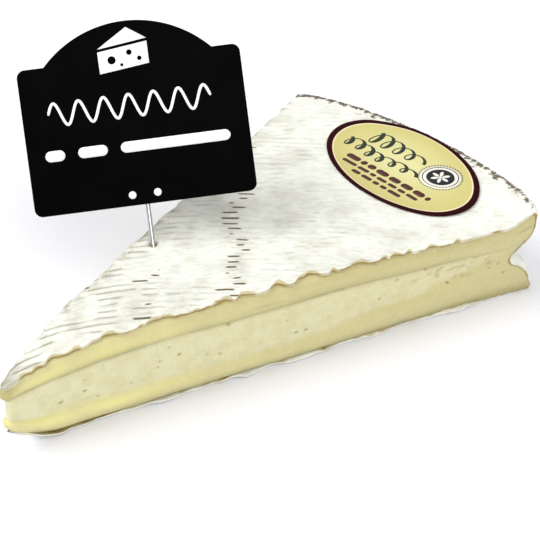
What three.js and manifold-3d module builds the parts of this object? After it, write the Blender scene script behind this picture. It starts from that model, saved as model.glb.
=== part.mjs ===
// A wedge cut from a flat, soft cheese with a bloomy rind, its oval paper label and its counter sign.
// Millimetres, +Z up. The wedge rests on z = 0, with the origin under the centroid of its plan.
// +X runs from the origin to the middle of the rim, so the tip of the wedge is on -X.

import * as THREE from 'three';
import { LoftGeometry } from 'three/addons/geometries/LoftGeometry.js';
import { mergeVertices } from 'three/addons/utils/BufferGeometryUtils.js';
import Module from 'manifold-3d';

// The wheel and the cut
const wheelRadius = 180;
const wheelHeight = 30;
const wedgeAngle = THREE.MathUtils.degToRad(36);

// The tip: a blunt nose that sags at the top and lifts at the bottom, because the paste is soft
const tipRadius = 2.2;
const tipSpread = 8; // how fast the blunt nose runs out into the flat cut faces
const tipSag = 6.5;
const tipSagLength = 32;
const tipLift = 7;
const tipLiftLength = 17;

// The cut faces: two ripe bands swell out, and the chalky core between them stays back
const bandSwell = 0.8;
const coreRecess = 1.0;
const coreFrom = 0.31; // as shares of the local height
const coreTo = 0.7;
const reliefRunout = 25; // the relief dies away over this length before the rim

// The rim: rounded edges and a pinched waist all along it
const cornerRadius = 8;
const shoulderRadius = 6;
const footRadius = 2;
const waistDepth = 9;
const waistHeight = 15;
const waistSpreadAbove = 4.6;
const waistSpreadBelow = 6;

// The label
const labelLength = 65.2;
const labelWidth = 41.2;
const labelThickness = 0.25;
const labelFromRim = 23.5; // from the rim to the middle of the label
const labelOffset = -4.6; // across the wedge
const labelTurn = THREE.MathUtils.degToRad(78);

// The counter sign
const boardWidth = 68;
const panelHeight = 44.7;
const boardThickness = 1.5;
const boardCornerRadius = 2.5;
const archWidth = 51.2;
const archRise = 11;
const holderWidth = 13;
const holderHeight = 9;
const holderDepth = 4;
const holderCornerRadius = 1.2;
const holderInset = 0.8; // from the bottom edge of the board
const socketDepth = 7;
const pegSpacing = 7.7;
const pegHeight = 3.2; // above the bottom edge of the board
const pegDiameter = 1.6;
const pegHeadLip = 0.1; // how far a peg's head reaches past its hole
const pegHeadThickness = 0.5;
const pinDiameter = 1.5;
const pinDepth = 20; // in the cheese, along the pin
const pinPointLength = 4;
const pinFree = 12.8; // from the rind to the bottom edge of the board
const pinFromTip = 66.5;
const pinOffset = 16.6; // across the wedge
const signTurn = THREE.MathUtils.degToRad(-43);
const signLean = THREE.MathUtils.degToRad(33);
const signRoll = THREE.MathUtils.degToRad(7);

const clearance = 0.3; // between pieces that touch

// How finely the wedge is divided
const faceSteps = 14;
const faceCrowding = 1.7; // above 1 puts more of a face's steps near the tip
const cornerSteps = 5;
const rimSteps = 14;
const noseSteps = 6;
const wallSteps = 12;
const edgeSteps = 4;
const baseScales = [0.84, 0.93]; // outlines drawn in towards the centroid, from the inside out
const topScales = [0.94, 0.87, 0.8, 0.7];
const roundSides = 24;

const square = Math.PI / 2;
const pegHoleDiameter = pegDiameter + 2 * clearance;
const pinHoleDiameter = pinDiameter + 2 * clearance;
const halfAngle = wedgeAngle / 2;
const centroidFromTip = (2 / 3) * wheelRadius * Math.sin(halfAngle) / halfAngle;

const wasm = await Module();
wasm.setup();


// Profiles of the wedge, in its own frame with the point where the cut faces meet at x = 0

const runIn = (x, length) => Math.max(0, 1 - (x + tipRadius) / length) ** 2;
const topAt = (x) => wheelHeight - tipSag * runIn(x, tipSagLength);
const bottomAt = (x) => tipLift * runIn(x, tipLiftLength);

// A flattened half wave between two shares of the height, and nothing outside them
function wave(share, from, to) {

	if (share < from || share > to) return 0;
	return Math.sin(Math.PI * (share - from) / (to - from)) ** 0.8;

}

const reliefAt = (share) => bandSwell * (wave(share, 0, coreFrom) + wave(share, coreTo, 1))
	- coreRecess * wave(share, coreFrom, coreTo);

// How far the rim is pinched in at a height
function waistAt(height) {

	const spread = height > waistHeight ? waistSpreadAbove : waistSpreadBelow;
	return waistDepth * Math.exp(- (((height - waistHeight) / spread) ** 2));

}


// One closed outline of the wedge in plan, counter-clockwise from the tip along the -Y cut face
function planOutline(radius, relief) {

	const points = [];

	// the circle that rounds a corner touches the rim from inside and the cut face
	const cornerCentre = radius - cornerRadius;
	const cornerAngle = Math.asin(cornerRadius / cornerCentre);
	const faceLength = cornerCentre * Math.cos(cornerAngle);

	const addArc = (x, y, arcRadius, from, to, steps) => {

		for (let i = 0; i < steps; i ++) {

			const angle = THREE.MathUtils.lerp(from, to, i / steps);
			points.push(new THREE.Vector2(x + arcRadius * Math.cos(angle), y + arcRadius * Math.sin(angle)));

		}

	};

	const faceOffset = (along) => {

		const runout = THREE.MathUtils.smoothstep(faceLength - along, 0, reliefRunout);
		return relief * runout + tipRadius * Math.exp(- along / tipSpread);

	};

	const addFace = (side, alongs) => {

		for (const along of alongs) {

			const offset = faceOffset(along);
			points.push(new THREE.Vector2(
				along * Math.cos(halfAngle) - offset * Math.sin(halfAngle),
				side * (along * Math.sin(halfAngle) + offset * Math.cos(halfAngle))
			));

		}

	};

	const alongs = Array.from({ length: faceSteps }, (_, i) => faceLength * (i / faceSteps) ** faceCrowding);
	const rimEnd = halfAngle - cornerAngle;
	const cornerX = cornerCentre * Math.cos(rimEnd);
	const cornerY = cornerCentre * Math.sin(rimEnd);

	addFace(- 1, alongs);
	addArc(cornerX, - cornerY, cornerRadius, - halfAngle - square, - rimEnd, cornerSteps);
	addArc(0, 0, radius, - rimEnd, rimEnd, rimSteps);
	addArc(cornerX, cornerY, cornerRadius, rimEnd, halfAngle + square, cornerSteps);
	addFace(1, [faceLength, ...alongs.slice(1).reverse()]);
	addArc(0, 0, tipRadius + relief, halfAngle + square, 2 * Math.PI - halfAngle - square, noseSteps);
	return points;

}


// The wedge is one solid: a loft of plan outlines from the base, up the sides and in across the top
function makeWedge() {

	const sections = [];

	const addSection = (share, radius, relief, scale = 1) => {

		sections.push(planOutline(radius, relief).map((p) => {

			const x = THREE.MathUtils.lerp(centroidFromTip, p.x, scale);
			return new THREE.Vector3(x, p.y * scale, THREE.MathUtils.lerp(bottomAt(x), topAt(x), share));

		}));

	};

	const addSide = (height, inset) => {

		const share = height / wheelHeight;
		addSection(share, wheelRadius - inset - waistAt(height), reliefAt(share));

	};

	for (const scale of baseScales) addSection(0, wheelRadius - footRadius, 0, scale);

	for (let i = 0; i <= edgeSteps / 2; i ++) {

		const angle = 2 * square * i / edgeSteps;
		addSide(footRadius * (1 - Math.cos(angle)), footRadius * (1 - Math.sin(angle)));

	}

	for (let i = 1; i < wallSteps; i ++) {

		addSide(THREE.MathUtils.lerp(footRadius, wheelHeight - shoulderRadius, i / wallSteps), 0);

	}

	for (let i = 0; i <= edgeSteps; i ++) {

		const angle = square * i / edgeSteps;
		addSide(
			wheelHeight - shoulderRadius * (1 - Math.sin(angle)),
			shoulderRadius * (1 - Math.cos(angle))
		);

	}

	for (const scale of topScales) addSection(1, wheelRadius - shoulderRadius, 0, scale);

	return new LoftGeometry(sections, { closed: true, capStart: true, capEnd: true });

}


// A closed geometry as a solid for joining and cutting, and back
function toSolid(geometry) {

	const bare = new THREE.BufferGeometry();
	bare.setAttribute('position', geometry.attributes.position);
	bare.setIndex(geometry.index);
	const merged = mergeVertices(bare);
	return new wasm.Manifold(new wasm.Mesh({
		numProp: 3,
		vertProperties: new Float32Array(merged.attributes.position.array),
		triVerts: new Uint32Array(merged.index.array)
	}));

}

function toGeometry(solid) {

	const mesh = solid.getMesh();
	const geometry = new THREE.BufferGeometry();
	geometry.setAttribute('position', new THREE.BufferAttribute(mesh.vertProperties, 3));
	geometry.setIndex(new THREE.BufferAttribute(mesh.triVerts, 1));
	geometry.computeVertexNormals();
	return geometry;

}

// A round bar along +Z from one height to another
function bar(diameter, from, to) {

	const geometry = new THREE.CylinderGeometry(diameter / 2, diameter / 2, to - from, roundSides);
	return geometry.rotateX(square).translate(0, 0, (from + to) / 2);

}

function roundedRectangle(width, height, radius) {

	const x = width / 2 - radius;
	const shape = new THREE.Shape();
	shape.absarc(- x, radius, radius, Math.PI, 1.5 * Math.PI);
	shape.absarc(x, radius, radius, 1.5 * Math.PI, 2 * Math.PI);
	shape.absarc(x, height - radius, radius, 0, 0.5 * Math.PI);
	shape.absarc(- x, height - radius, radius, 0.5 * Math.PI, Math.PI);
	return shape;

}

// A plate standing in the XZ plane, from its front face at -Y to its back face at y = 0
function standingPlate(shape, thickness, curveSegments) {

	return new THREE.ExtrudeGeometry(shape, { depth: thickness, bevelEnabled: false, curveSegments })
		.rotateX(square);

}


// The label: a flat oval of paper
function makeLabel() {

	const oval = new THREE.Shape();
	oval.absellipse(0, 0, labelLength / 2, labelWidth / 2, 0, 2 * Math.PI);
	return new THREE.ExtrudeGeometry(oval, {
		depth: labelThickness,
		bevelEnabled: false,
		curveSegments: 2 * roundSides
	});

}

// The board: a panel with round corners and a low arch on top, drilled for the two pegs
function makeBoard() {

	const x = boardWidth / 2 - boardCornerRadius;
	const top = panelHeight - boardCornerRadius;
	const archRadius = (archWidth ** 2 / 4 + archRise ** 2) / (2 * archRise);
	const archCentre = panelHeight + archRise - archRadius;
	const archStart = Math.asin((panelHeight - archCentre) / archRadius);

	const shape = new THREE.Shape();
	shape.absarc(- x, boardCornerRadius, boardCornerRadius, Math.PI, 1.5 * Math.PI);
	shape.absarc(x, boardCornerRadius, boardCornerRadius, 1.5 * Math.PI, 2 * Math.PI);
	shape.absarc(x, top, boardCornerRadius, 0, 0.5 * Math.PI);
	shape.absarc(0, archCentre, archRadius, archStart, Math.PI - archStart);
	shape.absarc(- x, top, boardCornerRadius, 0.5 * Math.PI, Math.PI);

	for (const side of [- 1, 1]) {

		const hole = new THREE.Path();
		hole.absarc(side * pegSpacing / 2, pegHeight, pegHoleDiameter / 2, 0, 2 * Math.PI, true);
		shape.holes.push(hole);

	}

	return standingPlate(shape, boardThickness, 12);

}

// The holder: a moulded block with a blind socket for the pin and two headed pegs on its front
function makeHolder() {

	let solid = toSolid(standingPlate(
		roundedRectangle(holderWidth, holderHeight, holderCornerRadius), holderDepth, 6
	).translate(0, holderDepth / 2, 0));

	const headBack = holderDepth / 2 + clearance + boardThickness + clearance; // in front of the socket
	const overlap = 0.5; // how far a peg runs into the block and into its head, so that they join

	for (const side of [- 1, 1]) {

		const place = (geometry) => geometry.rotateX(square)
			.translate(side * pegSpacing / 2, 0, pegHeight - holderInset);
		const peg = place(bar(pegDiameter, holderDepth / 2 - overlap, headBack + overlap / 2));
		const head = place(bar(pegHoleDiameter + 2 * pegHeadLip, headBack, headBack + pegHeadThickness));
		solid = solid.add(toSolid(peg)).add(toSolid(head));

	}

	const socket = bar(pinHoleDiameter, - 1, socketDepth);
	return toGeometry(solid.subtract(toSolid(socket)));

}

// The pin: a wire with a point, from its point in the cheese to its end in the holder's socket
function makePin() {

	const radius = pinDiameter / 2;
	const end = pinFree + holderInset + socketDepth - clearance;
	const profile = [
		new THREE.Vector2(0, - pinDepth),
		new THREE.Vector2(radius, - pinDepth + pinPointLength),
		new THREE.Vector2(radius, end),
		new THREE.Vector2(0, end)
	];
	return new THREE.LatheGeometry(profile, roundSides).rotateX(square);

}


function mesh(name, geometry, color, roughness, metalness = 0) {

	const made = new THREE.Mesh(geometry, new THREE.MeshStandardMaterial({ color, roughness, metalness }));
	made.name = name;
	return made;

}

const part = new THREE.Group();

const wedge = new THREE.Group();
wedge.position.set(- centroidFromTip, 0, 0);
part.add(wedge);

// The sign stands in its own frame: +Z up the pin from the rind, -Y out of the front of the board
const sign = new THREE.Group();
sign.position.set(pinFromTip, pinOffset, topAt(pinFromTip));
sign.rotation.set(- signLean, - signRoll, signTurn, 'ZXY');
sign.updateMatrix();
wedge.add(sign);

const board = mesh('sign_board', makeBoard(), 0x0b0b0c, 0.45);
board.position.set(0, - holderDepth / 2 - clearance, pinFree);
const holder = mesh('pin_holder', makeHolder(), 0xf2f2ee, 0.4);
holder.position.set(0, 0, pinFree + holderInset);
const pin = mesh('sign_pin', makePin(), 0xb9bbbd, 0.25, 1);
sign.add(board, holder, pin);

const pinHole = bar(pinHoleDiameter, - pinDepth - clearance, pinFree / 2).applyMatrix4(sign.matrix);
const wedgeSolid = toSolid(makeWedge()).subtract(toSolid(pinHole));
wedge.add(mesh('cheese_wedge', toGeometry(wedgeSolid), 0xf1ebcf, 0.8));

const label = mesh('oval_label', makeLabel(), 0xdcd690, 0.6);
label.position.set(wheelRadius - labelFromRim, labelOffset, wheelHeight + clearance);
label.rotation.z = labelTurn;
wedge.add(label);

export default part;
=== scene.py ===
import math
from types import SimpleNamespace
import bpy
import numpy as np
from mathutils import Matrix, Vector


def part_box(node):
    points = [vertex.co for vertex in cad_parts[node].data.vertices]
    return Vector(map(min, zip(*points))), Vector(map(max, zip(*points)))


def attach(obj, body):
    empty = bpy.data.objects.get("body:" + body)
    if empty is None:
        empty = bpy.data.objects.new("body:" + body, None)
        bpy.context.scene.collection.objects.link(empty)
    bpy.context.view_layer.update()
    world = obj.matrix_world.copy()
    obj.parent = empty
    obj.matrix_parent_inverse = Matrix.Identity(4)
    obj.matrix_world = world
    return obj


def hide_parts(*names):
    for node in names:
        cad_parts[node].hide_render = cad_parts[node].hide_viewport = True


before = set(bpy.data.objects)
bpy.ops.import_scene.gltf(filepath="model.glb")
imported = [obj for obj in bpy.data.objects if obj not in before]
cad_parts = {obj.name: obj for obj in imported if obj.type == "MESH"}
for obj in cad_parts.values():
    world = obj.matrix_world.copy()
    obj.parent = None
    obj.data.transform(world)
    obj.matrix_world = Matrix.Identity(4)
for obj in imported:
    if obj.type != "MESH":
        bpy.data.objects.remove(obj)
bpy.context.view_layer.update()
print("frame loaded")

# A wedge of soft white-rinded cheese, with its oval label and its counter sign.
# Shapes are worked out in millimetres from the point where the two cut faces meet: x runs to the
# middle of the rim, y across the wedge and z up. toFrame turns them into the frame's metres.

wedge = {
    "radius": 180.0, "angle": 36.0,  # the wheel, and how much of it was cut out, in degrees
    "noseRadius": 1.7, "noseSpread": 8.0,  # the blunt tip
    "sag": 6.5, "sagLength": 32.0, "lift": 7.0, "liftLength": 17.0,  # the soft tip sinks and curls up
    "swell": 0.8, "unevenness": 0.35,
    # the top dips beside the near cut, then rises to the rim
    "cutFall": 1.9, "cutRise": 2.8, "cutReach": 16.0,
    "shoulder": 2.2, "foot": 1.6,  # the radius of the rim's upper and lower edge
    # the rim is pinched in along its middle and flares a little at its foot
    "waistDepth": 9.0, "waistHeight": 15.3, "waistAbove": 4.6, "waistBelow": 6.0,
    "flare": 1.2, "flareHeight": 3.5,
    "cornerFall": 5.2, "farCornerFall": 3.0, "cornerSpread": 6.5,  # and is drawn in beside the cuts
}
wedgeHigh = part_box("cheese_wedge")[1]
apexX = wedgeHigh.x * 1000 - wedge["radius"]
height = wedgeHigh.z * 1000
halfAngle = math.radians(wedge["angle"] / 2)


def toFrame(points):
    # millimetres from the meeting point of the cuts, to metres in the frame
    return (np.asarray(points, float) + (apexX, 0, 0)) / 1000


def smooth(low, high, x):
    # the smooth step: 0 below low, 1 above high, and 3t^2 - 2t^3 between them
    t = np.clip((x - low) / (high - low), 0, 1)
    return t * t * (3 - 2 * t)


def noise(x, y, seed):
    # random heights from -1 to 1 on a square lattice, joined by smooth steps
    table = np.random.default_rng(seed).uniform(-1, 1, (128, 128))
    x, y = np.broadcast_arrays(np.asarray(x, float), np.asarray(y, float))
    i, j = np.floor(x).astype(int), np.floor(y).astype(int)
    fx, fy = smooth(0, 1, x - i), smooth(0, 1, y - j)
    left = table[i % 128, j % 128] * (1 - fy) + table[i % 128, (j + 1) % 128] * fy
    right = table[(i + 1) % 128, j % 128] * (1 - fy) + table[(i + 1) % 128, (j + 1) % 128] * fy
    return left * (1 - fx) + right * fx


def layered(x, y, seed, layers=3):
    # noise on top of noise, each layer half as wide and half as high as the one before
    x, y = np.asarray(x, float), np.asarray(y, float)
    return sum(noise(x * 2 ** k, y * 2 ** k, seed + k) / 2 ** k for k in range(layers)) / 1.6


# meshes

def gridShape(points, closed=True, ends="pole"):
    # rows of points joined by quads, each row closed on itself. Each end is closed by a fan round
    # its middle, by one flat face, or left for faces that the caller adds.
    rows, columns = points.shape[:2]
    index = np.arange(rows * columns).reshape(rows, columns)
    step = np.roll(index, -1, axis=1) if closed else index[:, 1:]
    here = index if closed else index[:, :-1]
    faces = [np.stack([here[:-1], step[:-1], step[1:], here[1:]], axis=-1).reshape(-1, 4)]
    flat = points.reshape(-1, 3)
    if ends == "pole":
        middles = np.stack([points[0].mean(axis=0), points[-1].mean(axis=0)])
        first, last = np.full(columns, len(flat)), np.full(columns, len(flat) + 1)
        flat = np.concatenate([flat, middles])
        faces.append(np.stack([step[0], here[0], first], axis=-1))
        faces.append(np.stack([here[-1], step[-1], last], axis=-1))
    elif ends == "flat":
        faces += [index[:1, ::-1], index[-1:]]
    return flat, faces


def facingOut(shape):
    # a closed shape whose signed volume is negative is inside out, so its faces are turned round
    points, faces = shape
    volume = 0
    for group in faces:
        corners = points[group]
        for k in range(1, group.shape[1] - 1):
            volume += np.einsum("ij,ij->", corners[:, 0], np.cross(corners[:, k], corners[:, k + 1]))
    return shape if volume > 0 else (points, [group[:, ::-1] for group in faces])


def makePiece(name, shapes, material, replaces, attributes=None, sharpAngle=None):
    # joins the shapes into one mesh, which stands in the frame and rides on its only body
    points, groups, count = [], [], 0
    for shape in map(facingOut, shapes):
        points.append(shape[0])
        groups += [group + count for group in shape[1]]
        count += len(shape[0])
    loops = np.concatenate([group.ravel() for group in groups])
    sizes = np.concatenate([np.full(len(group), group.shape[1]) for group in groups])
    mesh = bpy.data.meshes.new(name)
    mesh.vertices.add(count)
    mesh.vertices.foreach_set("co", toFrame(np.concatenate(points)).ravel())
    mesh.loops.add(len(loops))
    mesh.loops.foreach_set("vertex_index", loops.astype(np.int32))
    mesh.polygons.add(len(sizes))
    mesh.polygons.foreach_set("loop_start", (np.cumsum(sizes) - sizes).astype(np.int32))
    mesh.update(calc_edges=True)
    mesh.validate()
    mesh.shade_smooth()
    if sharpAngle:
        mesh.set_sharp_from_angle(angle=math.radians(sharpAngle))
    for label, values in (attributes or {}).items():
        kind, field = ("FLOAT_VECTOR", "vector") if values.ndim == 2 else ("FLOAT", "value")
        mesh.attributes.new(label, kind, "POINT").data.foreach_set(field, values.ravel())
    piece = bpy.data.objects.new(name, mesh)
    bpy.context.scene.collection.objects.link(piece)
    mesh.materials.append(material)
    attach(piece, "root")
    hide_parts(replaces)
    return piece


# materials

def colour(code):
    # an sRGB hex value as linear red, green, blue and alpha
    parts = [int(code[k:k + 2], 16) / 255 for k in (1, 3, 5)]
    return [p / 12.92 if p <= 0.04045 else ((p + 0.055) / 1.055) ** 2.4 for p in parts] + [1]


def giveInputs(tree, node, inputs):
    # an input takes a value, or a link from a socket or from a node's first output in use
    for key, value in inputs.items():
        named = [socket for socket in node.inputs if socket.name == key and socket.enabled]
        socket = named[0] if named else node.inputs[key]
        if isinstance(value, bpy.types.Node):
            value = next(output for output in value.outputs if output.enabled)
        if isinstance(value, bpy.types.NodeSocket):
            tree.links.new(value, socket)
        else:
            socket.default_value = value


def addNode(tree, kind, settings=None, inputs=None):
    # adds a node with its settings and links
    node = tree.nodes.new(kind)
    for key, value in (settings or {}).items():
        setattr(node, key, value)
    giveInputs(tree, node, inputs or {})
    return node


def newMaterial(name, shaderInputs):
    material = bpy.data.materials.new(name)
    material.use_nodes = True
    tree = material.node_tree
    shader = tree.nodes["Principled BSDF"]
    giveInputs(tree, shader, shaderInputs)
    return material, tree, shader


def addGrain(tree, shader, perMetre, detail, depth, strength):
    # fine relief, with so many grains to the metre and a depth in metres
    place = addNode(tree, "ShaderNodeTexCoord").outputs["Object"]
    grain = addNode(tree, "ShaderNodeTexNoise", inputs={"Vector": place, "Scale": perMetre, "Detail": detail})
    bump = addNode(tree, "ShaderNodeBump", inputs={"Height": grain, "Distance": depth, "Strength": strength})
    giveInputs(tree, shader, {"Normal": bump})


rindFinish = {
    # hollow is the grey of painted shade, crust the dark of the cut edge and of painted shade in the recess
    "bloom": "#fbfbf0", "hollow": "#89866a", "slit": "#6a5d36", "tick": "#4b3413", "edge": "#bfa963",
    "crust": "#5c4a22",
    "strawPitch": 2.9,  # from straw to straw of the mat
    "stitchLines": (62.0, 36.0, 17.0), "stitchSpread": 3.2,  # where the mat was stitched, along its straws
    "slitShort": 0.6, "slitLong": 3.4, "slitTaper": 0.9,  # half lengths of the slits
    "slitRarer": 3.8,  # taken off the short length for each further line, so that fewer slits show
    "fibreScale": (0.26, 2.1, 1), "fibreAmount": 0.14,  # fibres 1.4 mm wide that follow the straws
    "mottlePerMetre": 110.0, "mottleAmount": 0.26,  # 9 mm across
    "tickScale": (0.42, 0.36, 0), "tickFrom": 0.62, "tickTo": 0.67, "tickAmount": 0.92,
    "feltPerMetre": 2000.0, "feltDepth": 0.0006,  # threads drawn 0.5 mm wide so that they show
}


def bloomyRind():
    # Penicillium bloom on soft cheese, grown on straw mats: a matt white felt that scatters light,
    # with painted shade in the hollows of the mat's print, and tan skin in its slits and at its cut edge
    finish = rindFinish
    material, tree, shader = newMaterial("bloomyRindMatured", {
        "Roughness": 0.88, "IOR": 1.4, "Sheen Weight": 0.15, "Sheen Roughness": 0.5,
        "Subsurface Weight": 0.12, "Subsurface Radius": (1.0, 0.9, 0.7), "Subsurface Scale": 0.002,
    })
    mat, cut, hollow, around = [
        addNode(tree, "ShaderNodeAttribute", {"attribute_name": name}).outputs[output]
        for name, output in (("mat", "Vector"), ("cut", "Fac"), ("hollow", "Fac"), ("around", "Vector"))]
    place = addNode(tree, "ShaderNodeTexCoord").outputs["Object"]

    # grey between the fibres and in the mottle, and painted shade from the hollow attribute
    fibres = addNode(tree, "ShaderNodeMapping", inputs={"Vector": mat, "Scale": finish["fibreScale"]})
    fibreNoise = addNode(tree, "ShaderNodeTexNoise", {"noise_dimensions": "2D"}, {
        "Vector": fibres, "Scale": 1.0, "Detail": 4.0})
    fibreShade = addNode(tree, "ShaderNodeMapRange", inputs={
        "Value": fibreNoise, "From Min": 0.48, "From Max": 0.68})
    mottle = addNode(tree, "ShaderNodeTexNoise", inputs={
        "Vector": place, "Scale": finish["mottlePerMetre"], "Detail": 3.0})
    mottleShade = addNode(tree, "ShaderNodeMapRange", inputs={
        "Value": mottle, "From Min": 0.42, "From Max": 0.70, "To Max": finish["mottleAmount"]})
    shade = addNode(tree, "ShaderNodeMath", {"operation": "MULTIPLY_ADD"}, {
        0: fibreShade, 1: finish["fibreAmount"], 2: mottleShade})
    shade = addNode(tree, "ShaderNodeMath", {"operation": "ADD", "use_clamp": True}, {0: shade, 1: hollow})

    # slits lie in the hollows between two straws, where the mat's stitching crossed them: every
    # straw gets its own random number, which says where its slit is, how long, and if it is there
    along, strawAt = addNode(tree, "ShaderNodeSeparateXYZ", inputs={0: mat}).outputs[:2]
    shifted = addNode(tree, "ShaderNodeMath", {"operation": "ADD"}, {0: strawAt, 1: 0.5})
    straw = addNode(tree, "ShaderNodeMath", {"operation": "FLOOR"}, {0: shifted})
    off = addNode(tree, "ShaderNodeMath", {"operation": "SUBTRACT"}, {0: strawAt, 1: straw})
    off = addNode(tree, "ShaderNodeMath", {"operation": "ABSOLUTE"}, {0: off})
    narrow = addNode(tree, "ShaderNodeMapRange", inputs={
        "Value": off, "From Min": 0.10, "From Max": 0.19, "To Min": 1.0, "To Max": 0.0})
    slits = 0.0
    for number, line in enumerate(finish["stitchLines"]):
        key = addNode(tree, "ShaderNodeMath", {"operation": "ADD"}, {0: straw, 1: 37.3 * (number + 1)})
        dice = addNode(tree, "ShaderNodeTexWhiteNoise", {"noise_dimensions": "1D"}, {"W": key})
        rolls = addNode(tree, "ShaderNodeSeparateColor", inputs={0: dice.outputs["Color"]}).outputs
        middle = addNode(tree, "ShaderNodeMapRange", inputs={
            "Value": rolls[0], "To Min": line - finish["stitchSpread"],
            "To Max": line + finish["stitchSpread"]})
        away = addNode(tree, "ShaderNodeMath", {"operation": "SUBTRACT"}, {0: along, 1: middle})
        away = addNode(tree, "ShaderNodeMath", {"operation": "ABSOLUTE"}, {0: away})
        reach = addNode(tree, "ShaderNodeMapRange", inputs={
            "Value": rolls[1], "To Min": finish["slitShort"] - finish["slitRarer"] * number,
            "To Max": finish["slitLong"]})
        past = addNode(tree, "ShaderNodeMath", {"operation": "SUBTRACT"}, {0: away, 1: reach})
        within = addNode(tree, "ShaderNodeMapRange", inputs={
            "Value": past, "From Min": -finish["slitTaper"], "From Max": 0.0, "To Min": 1.0, "To Max": 0.0})
        slit = addNode(tree, "ShaderNodeMath", {"operation": "MULTIPLY"}, {0: within, 1: narrow})
        slits = addNode(tree, "ShaderNodeMath", {"operation": "MAXIMUM"}, {0: slits, 1: slit})

    # brown crust breaks through along the shoulder of the rim, in specks and short radial ticks
    readiness = addNode(tree, "ShaderNodeSeparateXYZ", inputs={0: around}).outputs[2]
    ticks = addNode(tree, "ShaderNodeMapping", inputs={"Vector": around, "Scale": finish["tickScale"]})
    tickNoise = addNode(tree, "ShaderNodeTexNoise", inputs={
        "Vector": ticks, "Scale": 1.0, "Detail": 6.0, "Roughness": 0.72})
    broken = addNode(tree, "ShaderNodeMath", {"operation": "ADD"}, {0: tickNoise, 1: readiness})
    tick = addNode(tree, "ShaderNodeMapRange", inputs={
        "Value": broken, "From Min": finish["tickFrom"], "From Max": finish["tickTo"],
        "To Max": finish["tickAmount"]})
    # crust dark where cut is nearly 1: the sheet's cut edge, and painted shade on the inner face in the
    # recess
    crust = addNode(tree, "ShaderNodeMapRange", inputs={
        "Value": cut, "From Min": 0.8, "From Max": 1.0, "To Max": 0.4})
    base = colour(finish["bloom"])
    layers = ((shade, "hollow"), (slits, "slit"), (tick, "tick"), (cut, "edge"), (crust, "crust"))
    for amount, name in layers:
        base = addNode(tree, "ShaderNodeMix", {"data_type": "RGBA"}, {
            "Factor": amount, "A": base, "B": colour(finish[name])})

    felt = addNode(tree, "ShaderNodeTexNoise", inputs={
        "Vector": place, "Scale": finish["feltPerMetre"], "Detail": 3.0, "Roughness": 0.6})
    relief = addNode(tree, "ShaderNodeMath", {"operation": "ADD"}, {0: felt, 1: fibreNoise})
    bump = addNode(tree, "ShaderNodeBump", inputs={
        "Height": relief, "Distance": finish["feltDepth"], "Strength": 0.65})
    giveInputs(tree, shader, {"Base Color": base, "Normal": bump})
    return material


pasteFinish = {
    "ripe": "#dad39a", "ripeByRim": "#c9bf8c", "core": "#dedab4", "coreByRim": "#d9d3a9",
    # bright: painted highlight; pit: specks and painted shade; skin: painted shade and riper paste
    "bright": "#ede69a", "skin": "#a8965c", "pit": "#857c3e", "crumb": "#f2eed6",
    "mottlePerMetre": 250.0, "mottleAmount": 0.4,  # clouds 4 mm across
    "crumbsPerMetre": 1100.0, "crumbAmount": 0.12, "speckAmount": 0.4,  # crumbs and specks of 0.9 mm
    "grainPerMetre": 1600.0, "grainDepth": 0.00025,  # curd grain of 0.6 mm
    "dryRoughness": 0.75, "wetRoughness": 0.42,
}


def ripePaste():
    # soft-ripened curd cut with a wire: straw yellow and slightly wet where it is ripe, paler and
    # chalky in the core, and light goes a few millimetres into it
    finish = pasteFinish
    material, tree, shader = newMaterial("softRipenedPasteCut", {
        "Roughness": 0.5, "IOR": 1.45, "Subsurface Weight": 0.3,
        "Subsurface Radius": (1.0, 0.75, 0.3), "Subsurface Scale": 0.0012,
    })
    ripe, along, skin, pit, paintedHighlight = [
        addNode(tree, "ShaderNodeAttribute", {"attribute_name": name}).outputs["Fac"]
        for name in ("ripe", "along", "skin", "pit", "paintedHighlight")]
    place = addNode(tree, "ShaderNodeTexCoord").outputs["Object"]
    ripeColour, coreColour = [
        addNode(tree, "ShaderNodeMix", {"data_type": "RGBA"}, {
            "Factor": along, "A": colour(finish[name]), "B": colour(finish[name + "ByRim"])})
        for name in ("ripe", "core")]
    base = addNode(tree, "ShaderNodeMix", {"data_type": "RGBA"}, {
        "Factor": ripe, "A": coreColour, "B": ripeColour})
    mottle = addNode(tree, "ShaderNodeTexNoise", inputs={
        "Vector": place, "Scale": finish["mottlePerMetre"], "Detail": 5.0})
    cloud = addNode(tree, "ShaderNodeMapRange", inputs={
        "Value": mottle, "From Min": 0.40, "From Max": 0.68, "To Max": finish["mottleAmount"]})
    crumbs = addNode(tree, "ShaderNodeTexNoise", inputs={
        "Vector": place, "Scale": finish["crumbsPerMetre"], "Detail": 3.0})
    crumb = addNode(tree, "ShaderNodeMapRange", inputs={
        "Value": crumbs, "From Min": 0.52, "From Max": 0.72, "To Max": finish["crumbAmount"]})
    speck = addNode(tree, "ShaderNodeMapRange", inputs={
        "Value": crumbs, "From Min": 0.32, "From Max": 0.26, "To Max": finish["speckAmount"]})
    inCore = addNode(tree, "ShaderNodeMath", {"operation": "SUBTRACT"}, {0: 1.0, 1: ripe})
    speck = addNode(tree, "ShaderNodeMath", {"operation": "MULTIPLY"}, {0: speck, 1: inCore})
    # layers: clouds, pale crumbs, dark specks, painted highlight, then mostly painted shade in pit and skin
    layers = ((cloud, "ripeByRim"), (crumb, "crumb"), (speck, "pit"), (paintedHighlight, "bright"), (pit, "pit"),
              (skin, "skin"))
    for amount, name in layers:
        base = addNode(tree, "ShaderNodeMix", {"data_type": "RGBA"}, {
            "Factor": amount, "A": base, "B": colour(finish[name])})
    wet = addNode(tree, "ShaderNodeMapRange", inputs={
        "Value": ripe, "To Min": finish["dryRoughness"], "To Max": finish["wetRoughness"]})
    giveInputs(tree, shader, {"Base Color": base, "Roughness": wet})
    addGrain(tree, shader, finish["grainPerMetre"], 3.0, finish["grainDepth"], 0.5)
    return material


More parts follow.
